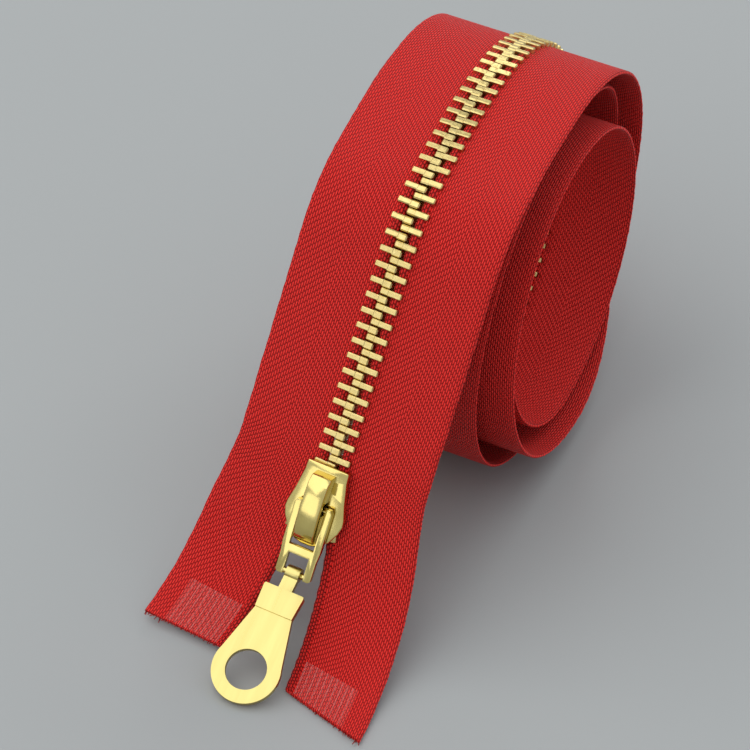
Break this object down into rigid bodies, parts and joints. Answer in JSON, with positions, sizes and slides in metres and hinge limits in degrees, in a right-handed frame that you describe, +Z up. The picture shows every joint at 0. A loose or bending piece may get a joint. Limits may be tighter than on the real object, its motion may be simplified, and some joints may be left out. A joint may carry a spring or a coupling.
{
  "type": "zipper",
  "caption": "Closed open-end metal zipper wound into a roll, its auto-lock slider at the top stops and a ring pull hanging in front.",
  "frame": {"origin": "centre of the part's overall box, on the plane the roll stands on", "axes": "+Z up, +X across the tape to the zipper's right as seen from the slider's side, +Y from the tape ends towards the back of the roll"},
  "size_m": [0.0448, 0.1142, 0.0693],
  "materials": {
    "tape": "matt herringbone-woven red polyester",
    "cord": "matt knitted red polyester",
    "teeth": "polished brass",
    "slider": "bright gold-plated brass",
    "pull": "brushed gold-plated brass",
    "lock": "plain spring steel",
    "film": "clear glossy heat-fused film"
  },
  "bodies": {
    "roll": {"left_tape_outer": "tape", "left_tape_second": "tape", "left_tape_third": "tape", "left_tape_inner": "tape", "right_tape_outer": "tape", "right_tape_second": "tape", "right_tape_third": "tape", "right_tape_inner": "tape", "left_cord": "cord", "right_cord": "cord", "left_teeth_outer": "teeth", "left_teeth_base": "teeth", "left_teeth_second": "teeth", "left_teeth_third": "teeth", "left_teeth_inner": "teeth", "right_teeth_outer": "teeth", "right_teeth_base": "teeth", "right_teeth_second": "teeth", "right_teeth_third": "teeth", "right_teeth_inner": "teeth", "retaining_box": "slider", "retaining_pin": "teeth", "insertion_pin": "teeth", "left_end_film": "film", "right_end_film": "film"},
    "left_end": {"left_tape_front": "tape", "left_cord_front": "cord", "left_teeth_front": "teeth", "left_top_stop": "teeth", "left_film": "film"},
    "right_end": {"right_tape_front": "tape", "right_cord_front": "cord", "right_teeth_front": "teeth", "right_top_stop": "teeth", "right_film": "film"},
    "slider": {"slider_body": "slider", "crown": "slider", "lock_spring": "lock"},
    "pawl": {"lock_pawl": "lock"},
    "link": {"link": "pull"},
    "pull": {"pull": "pull"}
  },
  "joints": [
    {"name": "slider_travel", "type": "slide", "parent": "roll", "child": "slider", "axis": [0.0499, 0.4766, 0.8777], "range_m": [0, 0.01778]},
    {"name": "left_end_swing", "type": "hinge", "parent": "roll", "child": "left_end", "pos_m": [0.00061, -0.01733, 0.04137], "axis": [0, -0.8788, 0.4772], "range_deg": [-10.2, 0], "deforming": ["left_tape_front", "left_cord_front", "left_teeth_front", "left_top_stop", "left_film"]},
    {"name": "right_end_swing", "type": "hinge", "parent": "roll", "child": "right_end", "pos_m": [0.00061, -0.01733, 0.04137], "axis": [0, -0.8788, 0.4772], "range_deg": [0, 10.2], "deforming": ["right_tape_front", "right_cord_front", "right_teeth_front", "right_top_stop", "right_film"]},
    {"name": "lock_lift", "type": "slide", "parent": "slider", "child": "pawl", "axis": [0, -0.8788, 0.4772], "range_m": [0, 0.00028], "stiffness_N_per_m": 300, "springref_m": -0.001},
    {"name": "link_swing", "type": "hinge", "parent": "slider", "child": "link", "pos_m": [-0.00061, -0.03159, 0.02134], "axis": [-0.9988, 0.0238, 0.0439], "range_deg": [0, 90]},
    {"name": "pull_swing", "type": "hinge", "parent": "link", "child": "pull", "pos_m": [-0.00117, -0.03701, 0.01135], "axis": [-0.9988, 0.0238, 0.0439], "range_deg": [0, 60]}
  ],
  "couplings": [
    {"joint": "left_end_swing", "follows": "slider_travel", "rad_per_m": -9.8163},
    {"joint": "right_end_swing", "follows": "slider_travel", "rad_per_m": 9.8163}
  ]
}
